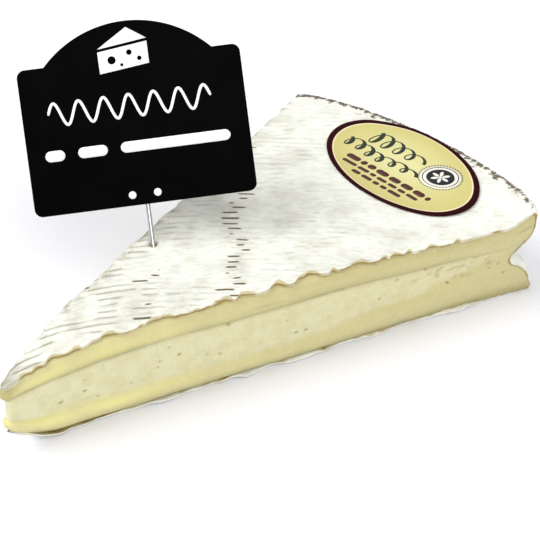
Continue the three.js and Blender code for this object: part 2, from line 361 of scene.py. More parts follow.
labelFinish = {
    "field": "#e0dba0", "fieldEdge": "#cdc47e", "line": "#f3e3c0", "border": "#2c0304",
    # shares of the way from the middle to the edge
    "fieldFrom": 0.2, "fieldTo": 0.9, "lineFrom": 0.91, "borderFrom": 0.926, "blur": 0.004,
    "grainPerMetre": 1400.0, "grainDepth": 0.0001,  # paper grain of 0.7 mm
}


def labelPaper():
    # coated paper, printed: a satin surface whose colours go by the distance from the oval's middle
    finish = labelFinish
    material, tree, shader = newMaterial("coatedPaperPrinted", {
        "Roughness": 0.5, "IOR": 1.5, "Specular IOR Level": 0.06})
    oval = addNode(tree, "ShaderNodeAttribute", {"attribute_name": "oval"})
    away = addNode(tree, "ShaderNodeVectorMath", {"operation": "LENGTH"}, {0: oval.outputs["Vector"]})
    base = colour(finish["field"])
    line, border, blur = finish["lineFrom"], finish["borderFrom"], finish["blur"]
    for start, end, name in ((finish["fieldFrom"], finish["fieldTo"], "fieldEdge"),
                             (line - blur, line + blur, "line"), (border - blur, border + blur, "border")):
        step = addNode(tree, "ShaderNodeMapRange", inputs={
            "Value": away.outputs["Value"], "From Min": start, "From Max": end})
        base = addNode(tree, "ShaderNodeMix", {"data_type": "RGBA"}, {
            "Factor": step, "A": base, "B": colour(finish[name])})
    giveInputs(tree, shader, {"Base Color": base})
    addGrain(tree, shader, finish["grainPerMetre"], 2.0, finish["grainDepth"], 0.3)
    return material


# colour, roughness, shine and grains to the metre
flatFinish = {
    # satin ink, printed thick enough to hide the paper
    "inkGreenPrinted": ("#1d2b1c", 0.5, 0.5, 1500),
    "inkMaroonPrinted": ("#4f1d10", 0.5, 0.5, 1500),
    "inkCreamPrinted": ("#f4f1e4", 0.5, 0.5, 1500),
    "inkNavyPrinted": ("#10121f", 0.5, 0.5, 1500),
    # cast PVC sheet, deep black and nearly without shine, and the opaque ink screened on it
    "pvcBoardBlackCast": ("#010101", 0.55, 0.02, 1100),
    "inkWhiteScreened": ("#ffffff", 0.5, 0.5, 1500),
    # moulded nylon, smoother and a little glossier
    "nylonWhiteMoulded": ("#f6f6f4", 0.35, 0.5, 1300),
}
flatCloud = {"colour": "#8a8a88", "amount": 0.006, "perMetre": 90.0}  # faint clouds 11 mm across


def flatMaterial(name):
    # ink or plastic of one colour, with the fine unevenness that its making left
    code, roughness, shine, perMetre = flatFinish[name]
    material, tree, shader = newMaterial(name, {
        "Roughness": roughness, "IOR": 1.5, "Specular IOR Level": shine})
    place = addNode(tree, "ShaderNodeTexCoord").outputs["Object"]
    cloud = addNode(tree, "ShaderNodeTexNoise", inputs={
        "Vector": place, "Scale": flatCloud["perMetre"], "Detail": 3.0})
    amount = addNode(tree, "ShaderNodeMapRange", inputs={"Value": cloud, "To Max": flatCloud["amount"]})
    base = addNode(tree, "ShaderNodeMix", {"data_type": "RGBA"}, {
        "Factor": amount, "A": colour(code), "B": colour(flatCloud["colour"])})
    giveInputs(tree, shader, {"Base Color": base})
    addGrain(tree, shader, perMetre, 2.0, 0.0001, 0.2)
    return material


def drawnSteel():
    # stainless wire drawn through a die and polished: mirror bright, with faint unevenness that is
    # drawn 0.4 mm wide so that it shows
    material, tree, shader = newMaterial("stainlessWireDrawn", {
        "Base Color": colour("#c9cacc"), "Metallic": 1.0, "Roughness": 0.22})
    place = addNode(tree, "ShaderNodeTexCoord").outputs["Object"]
    lines = addNode(tree, "ShaderNodeTexNoise", inputs={"Vector": place, "Scale": 2600.0, "Detail": 1.0})
    rough = addNode(tree, "ShaderNodeMapRange", inputs={"Value": lines, "To Min": 0.14, "To Max": 0.34})
    giveInputs(tree, shader, {"Roughness": rough})
    return material


# the wedge's smooth shape

def runIn(x, length):
    # 1 at the very tip, falling to 0 at that length along the square of the distance left
    return np.clip(1 - (x + wedge["noseRadius"]) / length, 0, 1) ** 2


def topAt(x, y):
    # the flat top, less its sag at the tip, plus a low swell, waves and the dip beside the near cut
    flat = height - wedge["sag"] * runIn(x, wedge["sagLength"])
    swell = wedge["swell"] * smooth(10, 45, x) * (1 - smooth(95, 150, x))
    waves = wedge["unevenness"] * layered(x / 38, y / 30, 5) * smooth(5, 30, x)
    away = np.hypot(x, y)
    fromCut = np.clip(x * math.sin(halfAngle) + y * math.cos(halfAngle), 0, None)
    dip = wedge["cutFall"] * smooth(95, 160, away) - wedge["cutRise"] * smooth(162, 174, away)
    return flat + swell + waves - dip * np.exp(-fromCut / wedge["cutReach"])


def bottomAt(x):
    # the underside lies flat and lifts at the tip
    return wedge["lift"] * runIn(x, wedge["liftLength"])


def cornerShare(across):
    # the rim's radius beside the cuts, as a share of its full one: less by an exponential fall
    fromCut = wedge["radius"] * halfAngle * (1 - np.abs(across))
    fall = np.where(across < 0, wedge["cornerFall"], wedge["farCornerFall"])
    return 1 - fall * np.exp(-fromCut / wedge["cornerSpread"]) / wedge["radius"]


def waistAt(z):
    # how far the rim is pinched in at a height: a bell curve, wider below its middle than above,
    # less a flare at the foot
    spread = np.where(z > wedge["waistHeight"], wedge["waistAbove"], wedge["waistBelow"])
    flare = wedge["flare"] * np.exp(-(z / wedge["flareHeight"]) ** 2)
    return wedge["waistDepth"] * np.exp(-((z - wedge["waistHeight"]) / spread) ** 2) - flare


def inPlan(away, across):
    # distance from the tip and share of the half angle, to x and y, with the blunt nose added
    nose = wedge["noseRadius"] * np.exp(-away / wedge["noseSpread"])
    turn = math.pi - across * (math.pi / 2 - halfAngle)
    x = away * np.cos(across * halfAngle) + nose * np.cos(turn)
    y = away * np.sin(across * halfAngle) + nose * np.sin(turn)
    return x, y


matPrint = {
    "turn": -44.0, "pitch": rindFinish["strawPitch"], "depth": 0.22,
    "bend": 9.5, "bendLength": 35.0, "wander": 1.0, "waver": 0.35,
}


def matAt(x, y):
    # coordinates of the straw mat that the cheese ripened on: millimetres along its straws, and the
    # number of the straw. The straws bend round near the tip and wander a little.
    turn = math.radians(matPrint["turn"])
    along = x * math.cos(turn) + y * math.sin(turn)
    across = y * math.cos(turn) - x * math.sin(turn)
    bent = across + matPrint["bend"] * np.exp(-(along - 20) / matPrint["bendLength"]) + 0.05 * along
    bent = bent + matPrint["wander"] * noise(along / 17, across / 11, 21)
    bent = bent + matPrint["waver"] * noise(along / 6, across / 5, 22)
    return along, bent / matPrint["pitch"]


label = {
    "fromRim": 23.5, "across": -4.6, "length": 65.2, "width": 41.2, "turn": 78.0,
    "thickness": 0.15, "lift": 0.28, "ripple": 0.07, "curl": 0.3,
    "rings": 44, "spokes": 180,
}
labelX = wedge["radius"] - label["fromRim"]


def ovalAt(x, y):
    # a point's place on the label: its two half axes are 1 long
    turn = math.radians(label["turn"])
    dx, dy = x - labelX, y - label["across"]
    along = dx * math.cos(turn) + dy * math.sin(turn)
    across = dy * math.cos(turn) - dx * math.sin(turn)
    return 2 * along / label["length"], 2 * across / label["width"]


# the rind

rind = {
    "thickness": 0.9, "thinnerBelow": 0.45,
    "topRows": 285, "shoulderRows": 12, "wallRows": 58, "footRows": 5, "bottomRows": 84,
    "columns": 152, "innerColumns": 20, "edgeColumns": 3,
    # how far the sheet stands past the cuts on top and stays back underneath, and how it is frayed
    "overhang": 0.35, "underhang": 0.9, "raggedness": 0.75, "edgeReach": 4.0,
    "bite": 0.68, "farBite": 0.3, "farShift": 4,  # the far cut repeats the near one's worn places, shallower
    "curl": 0.7, "curlReach": 1.8,  # the edge underneath curls up
    "fibre": 0.10, "lumps": 0.16, "wallLumps": 0.30,
    "dent": 1.0, "dentRadius": 1.5, "dentLip": 0.3, "dentLipRadius": 2.6,  # round the sign's pin
    "crustReach": 5.6,
    # places along the near cut where the felt wore off: millimetres from the tip, width and depth
    "tears": ((8.5, 5, 0.8), (20, 7, 1.2), (31, 8, 1.6), (41, 4, 0.6), (48, 8, 1.7), (58, 4, 0.6),
              (66.5, 10, 2.1), (75.5, 4, 1.0), (85, 8, 2.5), (95.5, 10, 2.8), (104, 4, 1.5), (113, 9, 2.3),
              (122, 5, 1.3), (131, 4, 1.2), (139, 6, 1.4), (149, 4, 1.0)),
    # and places where the rind underneath sticks out as a crinkled flap
    "flaps": ((11, 15, 2.0), (27, 9, 0.9), (47, 18, 2.2), (74, 11, 1.3), (93, 22, 1.9), (121, 15, 1.2),
              (150, 26, 1.6)),
}


def tearsAlong(away, tears):
    # each worn place is a rounded bump, steeper on the side towards the tip
    depth = np.zeros_like(away)
    for middle, width, bite in tears:
        d = (away - middle) / (0.5 * width)
        d = d - 0.25 * (1 - d ** 2)
        depth = np.maximum(depth, bite * (0.5 + 0.5 * np.cos(math.pi * np.clip(d, -1, 1))))
    return depth


def rindProfile():
    # from the tip out over the top, round the shoulder, down the pinched wall, round the foot and
    # back to the tip underneath: radius and share of the height for each row
    size, shoulder, foot = wedge["radius"], wedge["shoulder"], wedge["foot"]
    turn = np.linspace(0, math.pi / 2, rind["shoulderRows"] + 1)[1:]
    low = np.linspace(0, math.pi / 2, rind["footRows"] + 1)[1:]
    z = np.linspace(height - shoulder, foot, 600)
    r = size - waistAt(z)
    length = np.concatenate([[0], np.cumsum(np.hypot(np.diff(z), np.diff(r)))])
    even = np.linspace(0, length[-1], rind["wallRows"] + 1)[1:]
    top = np.linspace(0, size - shoulder, rind["topRows"])
    bottom = np.linspace(size - foot, 0, rind["bottomRows"] + 1)[1:]
    radius = np.concatenate([top, size - shoulder + shoulder * np.sin(turn), np.interp(even, length, r),
                             size - foot + foot * np.cos(low), bottom])
    z = np.concatenate([np.full(len(top), height), height - shoulder + shoulder * np.cos(turn),
                        np.interp(even, length, z), foot - foot * np.sin(low), np.zeros(len(bottom))])
    return radius, z / height


def rindGrid():
    # the sheet's smooth outside: rows follow the profile, columns go from the near cut to the far one
    radius, share = rindProfile()
    part = np.linspace(-1, 1, rind["columns"])
    across = 0.6 * part + 0.4 * np.sin(part * math.pi / 2)
    away = radius[:, None] * cornerShare(across)
    x, y = inPlan(away, across)
    isTop = smooth(0.93, 0.985, share)[:, None]
    isBottom = (1 - smooth(0.01, 0.05, share))[:, None]
    travel = np.concatenate([[0], np.cumsum(np.hypot(np.diff(radius), np.diff(share * height)))])[:, None]

    # the edge at each cut wanders and is torn, and the sheet beside it is drawn along
    fromEdge = (away * halfAngle + 1) * (1 - np.abs(across))
    for side, seed in ((-1, 31), (1, 41)):
        tears = rind["tears"]
        if side > 0:
            tears = [(at + rind["farShift"], width, depth * rind["farBite"]) for at, width, depth in tears]
        wander = rind["raggedness"] * layered(radius / 7, 0, seed) + 0.13 * noise(radius / 1.5, 0, seed + 5)
        above = wander - rind["overhang"] + rind["bite"] * tearsAlong(radius, tears)
        below = 1.1 * wander + rind["underhang"] - tearsAlong(radius, rind["flaps"])
        between = 0.15 * layered(travel[:, 0] / 3, 0, seed + 7)
        bite = isTop[:, 0] * above + isBottom[:, 0] * below + (1 - isTop[:, 0] - isBottom[:, 0]) * between
        bite = np.minimum(bite, 0.45 * (radius * math.sin(halfAngle) + 1))[:, None]
        pull = bite * np.exp(-fromEdge / rind["edgeReach"]) * (across * side > 0)
        x = x + pull * math.sin(halfAngle)
        y = y - side * pull * math.cos(halfAngle)
    z = bottomAt(x) + share[:, None] * (topAt(x, y) - bottomAt(x))
    curl = rind["curl"] * np.clip(0.15 + 1.5 * layered(radius / 5, 0, 51), 0, 1)
    curl = curl + 0.35 * tearsAlong(radius, rind["flaps"])
    z = z + isBottom * (0.05 + curl[:, None]) * np.exp(-fromEdge / rind["curlReach"])
    return SimpleNamespace(x=x, y=y, z=z, radius=radius, across=across, away=away, travel=travel,
                           fromEdge=fromEdge, isTop=isTop, isBottom=isBottom,
                           flatPart=np.clip(isTop + isBottom, 0, 1))


def rindRelief(grid):
    # the mat's print, finer fibres along it, lumps everywhere, and the dent round the sign's pin
    x, y, isTop, flatPart = grid.x, grid.y, grid.isTop, grid.flatPart
    along, straw = grid.along, grid.straw = matAt(x, y)
    grid.ridge = np.abs(np.cos(math.pi * straw)) ** 0.6
    ovalX, ovalY = ovalAt(x, y)
    underLabel = (1 - smooth(0.95, 1.2, np.hypot(ovalX, ovalY))) * isTop
    strength = 0.15 + 0.85 * smooth(-0.3, 0.45, layered(along / 22, straw / 6, 61) + 0.35 - along / 150)
    grid.strength = strength * (1 - 0.75 * underLabel)
    straws = matPrint["depth"] * (grid.ridge - 0.6) * grid.strength * flatPart
    fibre = rind["fibre"] * layered(along / 8, straw * 3.2, 62) * flatPart
    lumps = rind["lumps"] * layered(x / 5, y / 5, 63) * (1 - 0.8 * underLabel)
    lumps = lumps + (1 - flatPart) * rind["wallLumps"] * layered(grid.travel / 3.0, grid.across * 28, 64)
    grid.pinAway = np.hypot(x - pinEntry[0], y - pinEntry[1])
    dent = rind["dentLip"] * np.exp(-((grid.pinAway - rind["dentLipRadius"]) / 1.1) ** 2)
    dent = isTop * (dent - rind["dent"] * np.exp(-(grid.pinAway / rind["dentRadius"]) ** 2))
    return straws + fibre + lumps + dent


def rindSkin(grid):
    # how far the felt is worn off, and how far tan skin shows there: in crescents where the sheet is
    # torn, and as a broken line along the rest of the cuts
    isWall = 1 - grid.flatPart
    depth = tearsAlong(grid.radius, rind["tears"])[:, None] * grid.isTop
    depth = depth * np.where(grid.across > 0, 0.25, 1.0)
    darkening = np.clip(0.35 + 0.9 * layered(grid.travel / 4, 0, 65), 0, 1) * (1 - 0.6 * grid.isBottom)
    darkening = np.clip(darkening + depth / 1.5 + 0.6 * isWall, 0, 0.85)
    reach = 0.3 + 0.9 * depth + 0.3 * isWall
    blur = 0.35 * layered(grid.x / 1.2, grid.y / 1.2, 66)
    skin = darkening * (1 - smooth(0.5, 1.0, grid.fromEdge / reach + blur))
    return darkening, skin * np.where(grid.across > 0, 0.4, 1.0)


def rindGrey(grid):
    # painted shade in the mat's hollows and at the tip, and darker along the top of the far cut
    grey = (1 - grid.ridge) ** 1.5
    grey = grey * smooth(0.1, 0.6, grid.strength * (0.5 + 1.5 * noise(grid.along / 3.4, grid.straw, 67)))
    grey = grey * (0.4 + 0.6 * (1 - smooth(20, 60, grid.along))) + 0.5 * np.exp(-(grid.away / 4.5) ** 2)
    far = np.clip(0.3 + 1.4 * layered(grid.travel / 2.5, grid.across * 9, 69), 0, 1) * (grid.across > 0)
    grey = grey + 0.6 * far * grid.isTop * np.exp(-grid.fromEdge / 1.6)
    return grey * grid.flatPart


def rindCrust(grid):
    # how readily the crust breaks through: most on the rim's edge, less over the millimetres beside it
    fromRim = grid.travel - wedge["radius"] + 1.1 * wedge["shoulder"]
    crust = 0.10 * np.exp(-(fromRim / 0.9) ** 2) + 0.26 * np.exp(-(fromRim / rind["crustReach"]) ** 2) - 0.15
    besideCut = np.exp(-grid.fromEdge / 9) * (grid.across < 0)
    specks = 0.21 * grid.isTop * smooth(80, 140, grid.away) * smooth(3, 9, np.abs(fromRim))
    return crust + besideCut * (specks - 0.12)


def makeRind(material):
    # the sheet is a grid: a row goes across the outside from cut to cut, round the sheet's edge, back
    # on the inside and round the other edge
    grid = rindGrid()
    base = np.stack([grid.x, grid.y, grid.z], axis=-1)
    normal = np.cross(np.gradient(base, axis=0), np.gradient(base, axis=1))
    normal /= np.linalg.norm(normal, axis=-1, keepdims=True)
    if normal[rind["topRows"] // 2, rind["columns"] // 2, 2] < 0:
        normal = -normal
    outside = base + normal * rindRelief(grid)[..., None]
    outside[..., 2] = np.maximum(outside[..., 2], 0.02)  # nothing reaches under the table's top
    picks = np.linspace(rind["columns"] - 1, 0, rind["innerColumns"]).round().astype(int)
    thickness = rind["thickness"] * (1 - rind["thinnerBelow"] * grid.isBottom)
    inside = base[:, picks] - normal[:, picks] * thickness[..., None]
    steps = (np.arange(1, rind["edgeColumns"] + 1) / (rind["edgeColumns"] + 1))[:, None]
    farEdge = outside[:, -1:] * (1 - steps) + inside[:, :1] * steps
    nearEdge = inside[:, -1:] * (1 - steps) + outside[:, :1] * steps
    loops = np.concatenate([outside, farEdge, inside, nearEdge], axis=1)
    points, faces = gridShape(loops, ends="open")

    # both ends of the sheet are closed by strips of faces between its outside and its inside
    total = loops.shape[1]
    strips = [np.arange(rind["columns"] - 1, rind["columns"] + rind["edgeColumns"] + 1)[::-1],
              np.append(np.arange(total - rind["edgeColumns"] - 1, total), 0)[::-1]]
    for k in range(len(picks) - 1):
        inner = rind["columns"] + rind["edgeColumns"] + np.array([k, k + 1])
        strips.append(np.concatenate([np.arange(picks[k + 1], picks[k] + 1), inner]))
    for strip in strips:
        faces += [strip[None], strip[None, ::-1] + (len(loops) - 1) * total]

    def overLoop(values, edgeValue, innerValue):
        # spreads the outside's values over whole loops, with their own values at the edges and inside
        values = np.broadcast_to(values, grid.x.shape)
        edges = np.broadcast_to(edgeValue, (len(values), 2))
        far, near = [np.repeat(edges[:, k:k + 1], rind["edgeColumns"], axis=1) for k in (0, 1)]
        inner = np.broadcast_to(innerValue, (len(values), len(picks)))
        return np.concatenate([values, far, inner, near], axis=1).ravel()

    darkening, skin = rindSkin(grid)
    # painted shade in the dent round the pin's hole
    paintedHollowShade = 0.9 * grid.isTop * np.exp(-((grid.pinAway - 1.0) / 0.5) ** 2)  # round the pin's hole
    rim = np.clip(darkening[:, :1] + 0.3 - 0.45 * grid.isBottom, 0, 1)
    # the inner face shows only in the recess under the paste, where its dark patches are painted shade
    lining = np.clip(0.25 + 1.3 * layered(grid.radius / 3.5, 0, 68), 0.05, 1)[:, None]
    attributes = {
        "cut": overLoop(np.maximum(0.85 * skin, 0.3 * paintedHollowShade), rim * (0.25, 1.0), lining),
        "hollow": overLoop(rindGrey(grid) + paintedHollowShade, 0.0, 0.0),
        "mat": np.stack([overLoop(grid.along, 0, 0), overLoop(grid.straw, 0, 0),
                         np.zeros(len(points))], axis=-1),
        "around": np.stack([overLoop(grid.across * halfAngle * wedge["radius"], 0, 0),
                            overLoop(grid.travel, 0, 0), overLoop(rindCrust(grid), -1, -1)], axis=-1),
    }
    return makePiece("bloomy_rind", [(points, faces)], material, "cheese_wedge", attributes)


# the paste

paste = {
    "nearColumns": 350, "farColumns": 240, "rimColumns": 44, "noseColumns": 12, "rows": 88,
    "underRind": 0.55, "underRim": 0.88,  # how far it stays inside the outside of the rind
    "coreTop": 0.725, "coreFoot": 0.245,  # where the core lies, in shares of the height
    "bandSwell": 2.3, "lowBandSwell": 2.4, "coreDepth": 0.95, "underTop": 0.9, "overFoot": 1.0,
    "runout": 30.0, "runoutEnd": 172,  # the bands flatten out over these last millimetres before the rim
    "crease": 0.25, "creaseAbove": 0.11, "creaseBelow": 0.025,
    "fold": 0.4, "foldAt": 0.85, "foldWidth": 0.022,
    "grit": 0.17, "knifeMarks": 0.16,
    # pits and crumbs: how many, the range of each one's place and size, and how dark the painted
    # shade in them is. The crumbs gather near the rim, round a place and a level that each have a spread.
    "pits": 22, "pitPlaces": (10, 165), "pitLevels": (0.28, 0.70), "pitWidths": (0.22, 0.42),
    "pitDepths": (0.45, 0.9), "pitShade": 1.1,
    "crumbs": 26, "crumbPlaces": (146, 7), "crumbLevels": (0.60, 0.05), "crumbWidths": (0.25, 0.7),
    "crumbDepths": (0.25, 0.7), "crumbShade": 0.45,
}


def cutRelief(away, share, side):
    # how far a cut face stands out from its plane, then how ripe the paste is there, how dark it is
    # painted, mostly as shade, and its painted highlight.
    # Two ripe bands swell like cushions above and below a core that stays back. Pits are hollows,
    # each exp(-d^4) of its depth at a distance of d widths.
    z = share * height
    seed = 70 if side < 0 else 90
    upper = paste["coreTop"] + 0.012 * layered(away / 14, 0, seed) - 0.05 * smooth(140, 165, away)
    lower = paste["coreFoot"] + 0.035 * np.exp(-away / 25) + 0.016 * layered(away / 11, 0, seed + 1)
    lower = lower + 0.12 * smooth(85, 125, away) + 0.24 * smooth(125, 163, away)
    lower = np.minimum(lower, upper - 0.02)
    u = np.clip((share - upper) / (1 - upper), 0, 1)
    c = np.clip((share - lower) / (upper - lower), 0, 1)
    low = np.clip(share / lower, 0, 1)
    upperBand = paste["bandSwell"] * np.sin(math.pi * u ** 0.8) ** 0.85 - 1.05
    upperBand = upperBand - paste["underTop"] * smooth(0.86, 1.0, u)
    lowerSwell = paste["lowBandSwell"] * (0.75 + 0.25 * np.exp(-away / 60))
    lowerBand = lowerSwell * np.sin(math.pi * low ** 1.35) ** 0.75 - 1.1
    recess = paste["overFoot"] * (0.6 + 0.6 * layered(away / 7, 0, seed + 2))
    lowerBand = lowerBand - np.clip(recess, 0.1, 2) * (1 - smooth(0.0, 0.28, low))
    core = -paste["coreDepth"] - 0.3 * smooth(0.6, 1.0, c) + 0.15 * np.sin(math.pi * c)
    face = np.where(share > upper, upperBand, np.where(share < lower, lowerBand, core))
    # a crease above the core and a broken fold through the upper band, both darkened with painted
    # shade, and painted shade along the foot
    creaseWidth = np.where(share > upper, paste["creaseAbove"], paste["creaseBelow"])
    crease = np.exp(-((share - upper) / creaseWidth) ** 2) * (1 - smooth(120, 165, away))
    crease = crease * np.clip(0.7 + 0.6 * noise(away / 12, 0, seed + 7), 0, 1)
    under = np.exp(-(share / 0.1) ** 2) * (0.6 + 0.4 * smooth(10, 70, away))
    footLine = np.exp(-(share / 0.035) ** 2) * np.clip(0.4 + layered(away / 6, 0, seed + 10), 0, 1)
    under = np.maximum(under, 1.6 * footLine)
    foldAt = paste["foldAt"] + 0.02 * layered(away / 17, 0, seed + 11)
    fold = np.exp(-((share - foldAt) / paste["foldWidth"]) ** 2)
    fold = fold * np.clip(0.3 + 1.1 * layered(away / 20, 0, seed + 12), 0, 1) * smooth(30, 70, away)
    face = face - paste["crease"] * crease - paste["fold"] * fold
    runout = smooth(0, paste["runout"], paste["runoutEnd"] - away)
    face = face * (0.25 + 0.75 * runout) - 0.12 * (1 - runout)
    face = face * (0.6 + 0.4 * smooth(0, 16, away))
    face = face + 0.30 * layered(away / 22, z / 13, seed + 3) + 0.05 * noise(away / 14, z / 0.7, seed + 4)
    face = face + 0.16 * layered(away / 5, z / 2.6, seed + 8)
    inCore = np.where((share > lower) & (share < upper), 1.0, 0.0)
    face = face + paste["grit"] * layered(away / 1.8, z / 1.4, seed + 5) * inCore
    # slanting marks that the knife left towards the rim
    marks = noise((away - 0.8 * z) / 1.3, (z + 0.3 * away) / 9, seed + 13)
    face = face + paste["knifeMarks"] * marks * smooth(70, 140, away)

    dice = np.random.default_rng(seed + 6)
    hollow, paintedHollowShade = np.zeros_like(face), np.zeros_like(face)
    for number in range(paste["pits"] + paste["crumbs"]):
        kind, roll = ("pit", dice.uniform) if number < paste["pits"] else ("crumb", dice.normal)
        at = roll(*paste[kind + "Places"])
        level = roll(*paste[kind + "Levels"]) * height
        wide = dice.uniform(*paste[kind + "Widths"])
        depth = dice.uniform(*paste[kind + "Depths"])
        ring = ((away - at) / (1.5 * wide)) ** 2 + ((z - level) / wide) ** 2
        hollow = np.maximum(hollow, depth * np.exp(-ring ** 2))
        paintedHollowShade = np.maximum(paintedHollowShade, paste[kind + "Shade"] * depth * np.exp(-ring ** 2))
    ripe = smooth(-0.015, 0.02, share - upper) + 1 - smooth(-0.03, 0.015, share - lower)
    ripe = np.clip(ripe + smooth(150, 168, away), 0, 1)
    # near the tip a painted highlight lies where the paste bulges: atop the lower band and in the upper one
    paintedHighlight = 0.75 * np.exp(-((share - lower + 0.05) / 0.05) ** 2)
    paintedHighlight = paintedHighlight + 0.6 * np.exp(-((share - upper - 0.13) / 0.08) ** 2)
    paintedHighlight = paintedHighlight * (0.4 + 0.6 * smooth(0, 12, away)) * (1 - smooth(20, 75, away))
    paintedHighlight = paintedHighlight * np.clip(0.8 + 0.4 * noise(away / 10, 0, seed + 9), 0, 1)
    # dark: the top of the nose darker, and painted shade in pits, crumbs, crease, fold and along the foot
    darkening = 0.5 * np.exp(-away / 2.5) * smooth(0.68, 0.8, share)
    dark = np.maximum(np.maximum(paintedHollowShade, darkening), 0.5 * np.maximum(np.maximum(crease, 0.7 * fold), under))
    return face - hollow, ripe, np.clip(dark, 0, 1), paintedHighlight


def makePaste(material):
    # rows are levels from the base to the top, and each row is the outline at that level: along the
    # near cut to the rim, round the rim, back along the far cut and round the nose
    share = np.linspace(0, 1, paste["rows"])[:, None]
    z = share * height
    shoulder = wedge["shoulder"]
    rise = np.clip(z - (height - shoulder), 0, shoulder * 0.98)
    inset = shoulder - np.sqrt(shoulder ** 2 - rise ** 2)
    rimRadius = wedge["radius"] - waistAt(z) - inset - paste["underRim"]

    def face(side, count):
        part = np.linspace(0, 1, count, endpoint=False)[None]
        if side > 0:
            part = 1 - part
        away = part * rimRadius * cornerShare(float(side))
        relief, ripe, hollow, paintedHighlight = cutRelief(away, np.broadcast_to(share, away.shape), side)
        offset = relief + wedge["noseRadius"] * np.exp(-away / wedge["noseSpread"])
        x = away * math.cos(halfAngle) - offset * math.sin(halfAngle)
        y = side * (away * math.sin(halfAngle) + offset * math.cos(halfAngle))
        return x, y, ripe, hollow, paintedHighlight, away / wedge["radius"]

    across = np.linspace(-1, 1, paste["rimColumns"], endpoint=False)[None]
    rim = (*inPlan(rimRadius * cornerShare(across), across), 1.0, 0.0, 0.0, 1.0)
    begin, end = math.pi / 2 + halfAngle, 1.5 * math.pi - halfAngle
    turn = np.linspace(begin, end, paste["noseColumns"], endpoint=False)[None]
    relief, *noseValues = cutRelief(np.zeros((1, 1)), share, -1)
    offset = relief + wedge["noseRadius"]
    nose = (offset * np.cos(turn), offset * np.sin(turn), *noseValues, 0.0)
    parts = [face(-1, paste["nearColumns"]), rim, face(1, paste["farColumns"]), nose]
    x, y, ripe, hollow, paintedHighlight, along = [
        np.concatenate([np.broadcast_to(part[k], part[0].shape) for part in parts], axis=1) for k in range(6)]

    def level(x, y, share, under):
        low = bottomAt(x) + under
        return np.stack([x, y, low + share * (topAt(x, y) - under - low)], axis=-1)

    # two more outlines at each end, drawn in towards the middle and hidden under the rind
    middle = 2 / 3 * wedge["radius"]
    rings = [level(x, y, share, paste["underRind"])]
    for scale, under in ((0.86, 1.3), (0.55, 4.0)):
        for end, place in ((0, 0), (-1, len(rings) + 1)):
            ring = level(middle + scale * (x[end] - middle), scale * y[end], float(end != 0), under)[None]
            rings.insert(place, ring)
    points = np.concatenate(rings)

    # tan lines of painted shade under the rind at the top and bottom edges; the paste is riper beside it
    skin = (1 - smooth(0.0, 0.045, share)) * np.clip(0.5 + layered(x / 7, 0, 97), 0, 1)
    skin = smooth(0.982, 1.0, share) + skin
    riper = 0.2 * smooth(0.82, 0.98, share) + 0.14 * (1 - smooth(0.02, 0.14, share))
    skin = np.maximum(skin, riper * (0.4 + 0.6 * smooth(20, 90, x)))

    def spread(values, inner):
        # the outlines under the rind all have one value
        ends = np.full((2, values.shape[1]), inner)
        return np.concatenate([ends, values, ends]).ravel()

    # pit carries the dark amount, mostly painted shade
    attributes = {"ripe": spread(ripe, 1.0), "pit": spread(hollow, 0.0), "along": spread(along, 0.5),
                  "skin": spread(skin, 1.0), "paintedHighlight": spread(paintedHighlight, 0.0)}
    flat, faces = gridShape(points, ends="flat")
    return makePiece("ripe_paste", [(flat, faces)], material, "cheese_wedge", attributes)


# the label

def labelHeight(x, y):
    # the paper lies on the rind's smooth shape and rounds over with the shoulder
    away = np.hypot(x, y)
    edge = wedge["radius"] * cornerShare(np.arctan2(y, x) / halfAngle) - wedge["shoulder"]
    past = np.clip(away - edge, 0, wedge["shoulder"] * 0.95)
    drop = wedge["shoulder"] - np.sqrt(wedge["shoulder"] ** 2 - past ** 2)
    ripple = label["ripple"] * layered(x / 9, y / 7, 111)
    outer = np.hypot(*ovalAt(x, y))
    curl = label["curl"] * smooth(0.86, 1.0, outer) * np.clip(0.3 + layered(x / 13, y / 13, 112), 0, 1)
    return topAt(x, y) - drop + label["lift"] + ripple + curl


def onLabel(places, above):
    # a place on the label, in millimetres from its middle along and across it, to the wedge's space
    turn = math.radians(label["turn"])
    along, across = places[..., 0], places[..., 1]
    x = labelX + along * math.cos(turn) - across * math.sin(turn)
    y = label["across"] + along * math.sin(turn) + across * math.cos(turn)
    return np.stack([x, y, labelHeight(x, y) + label["thickness"] + above], axis=-1)


def makeLabel(material):
    # rings of the oval from its middle out to the edge on top, and back in underneath
    out = np.linspace(0.02, 1, label["rings"])
    back = out[::-4]
    share = np.concatenate([out, [1.003, 1.0], back])[:, None]
    depth = np.concatenate([np.zeros(len(out)), [0.5, 1], np.ones(len(back))])[:, None]
    turn = np.linspace(0, 2 * math.pi, label["spokes"], endpoint=False)[None]
    oval = np.stack([share * np.cos(turn), share * np.sin(turn), 0 * share * turn], axis=-1)
    places = oval[..., :2] * (0.5 * label["length"], 0.5 * label["width"])
    shape = gridShape(onLabel(places, -depth * label["thickness"]))
    oval = np.concatenate([oval.reshape(-1, 3), np.zeros((2, 3))])
    return makePiece("oval_label_paper", [shape], material, "oval_label", {"oval": oval})


# flat marks: print on the label and on the sign

def ribbon(path, widths, lay, thickness, closed=False):
    # a stroke: a path with a width at each point, laid on a surface as a thin closed band
    path = np.asarray(path, float)
    widths = np.broadcast_to(widths, len(path))[:, None]
    ahead = np.roll(path, -1, axis=0) - np.roll(path, 1, axis=0) if closed else np.gradient(path, axis=0)
    ahead /= np.linalg.norm(ahead, axis=1, keepdims=True)
    side = np.stack([-ahead[:, 1], ahead[:, 0]], axis=1) * widths / 2
    places = np.stack([path + side, path + side, path - side, path - side], axis=1)
    levels = np.array([0.0, thickness, thickness, 0.0])[None]
    points = lay(places, levels + 0 * places[..., 0])
    if closed:
        points = np.concatenate([points, points[:1]])
    flat, faces = gridShape(points, ends="flat")
    if closed:
        faces = [faces[0] % (4 * len(path))]
        flat = flat[:4 * len(path)]
    return flat, faces


